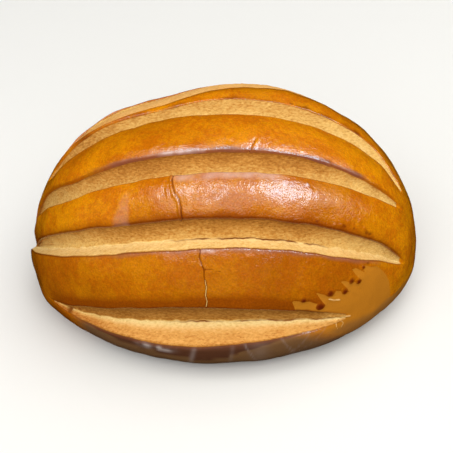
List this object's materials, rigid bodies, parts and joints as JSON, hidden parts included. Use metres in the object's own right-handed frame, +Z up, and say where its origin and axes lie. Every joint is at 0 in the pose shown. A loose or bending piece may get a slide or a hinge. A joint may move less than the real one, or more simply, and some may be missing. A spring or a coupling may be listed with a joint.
{
  "type": "melon pan bun",
  "caption": "Oval sweet bread bun, scored lengthwise into melon-like ribs, with a glossy egg-washed crust, pale crumb in the open slashes and a flat base to rest on.",
  "frame": {"origin": "on the resting surface, under the middle of the bun", "axes": "+X runs along the bun, +Z is up, and -Y is the front, where the lowest open slash is"},
  "size_m": [0.1301, 0.1022, 0.0654],
  "materials": {
    "crust": "baked egg-washed bread crust, glossy orange-brown, with matte cream crumb in the slashes"
  },
  "bodies": {
    "root": {"bun": "crust"}
  },
  "joints": []
}
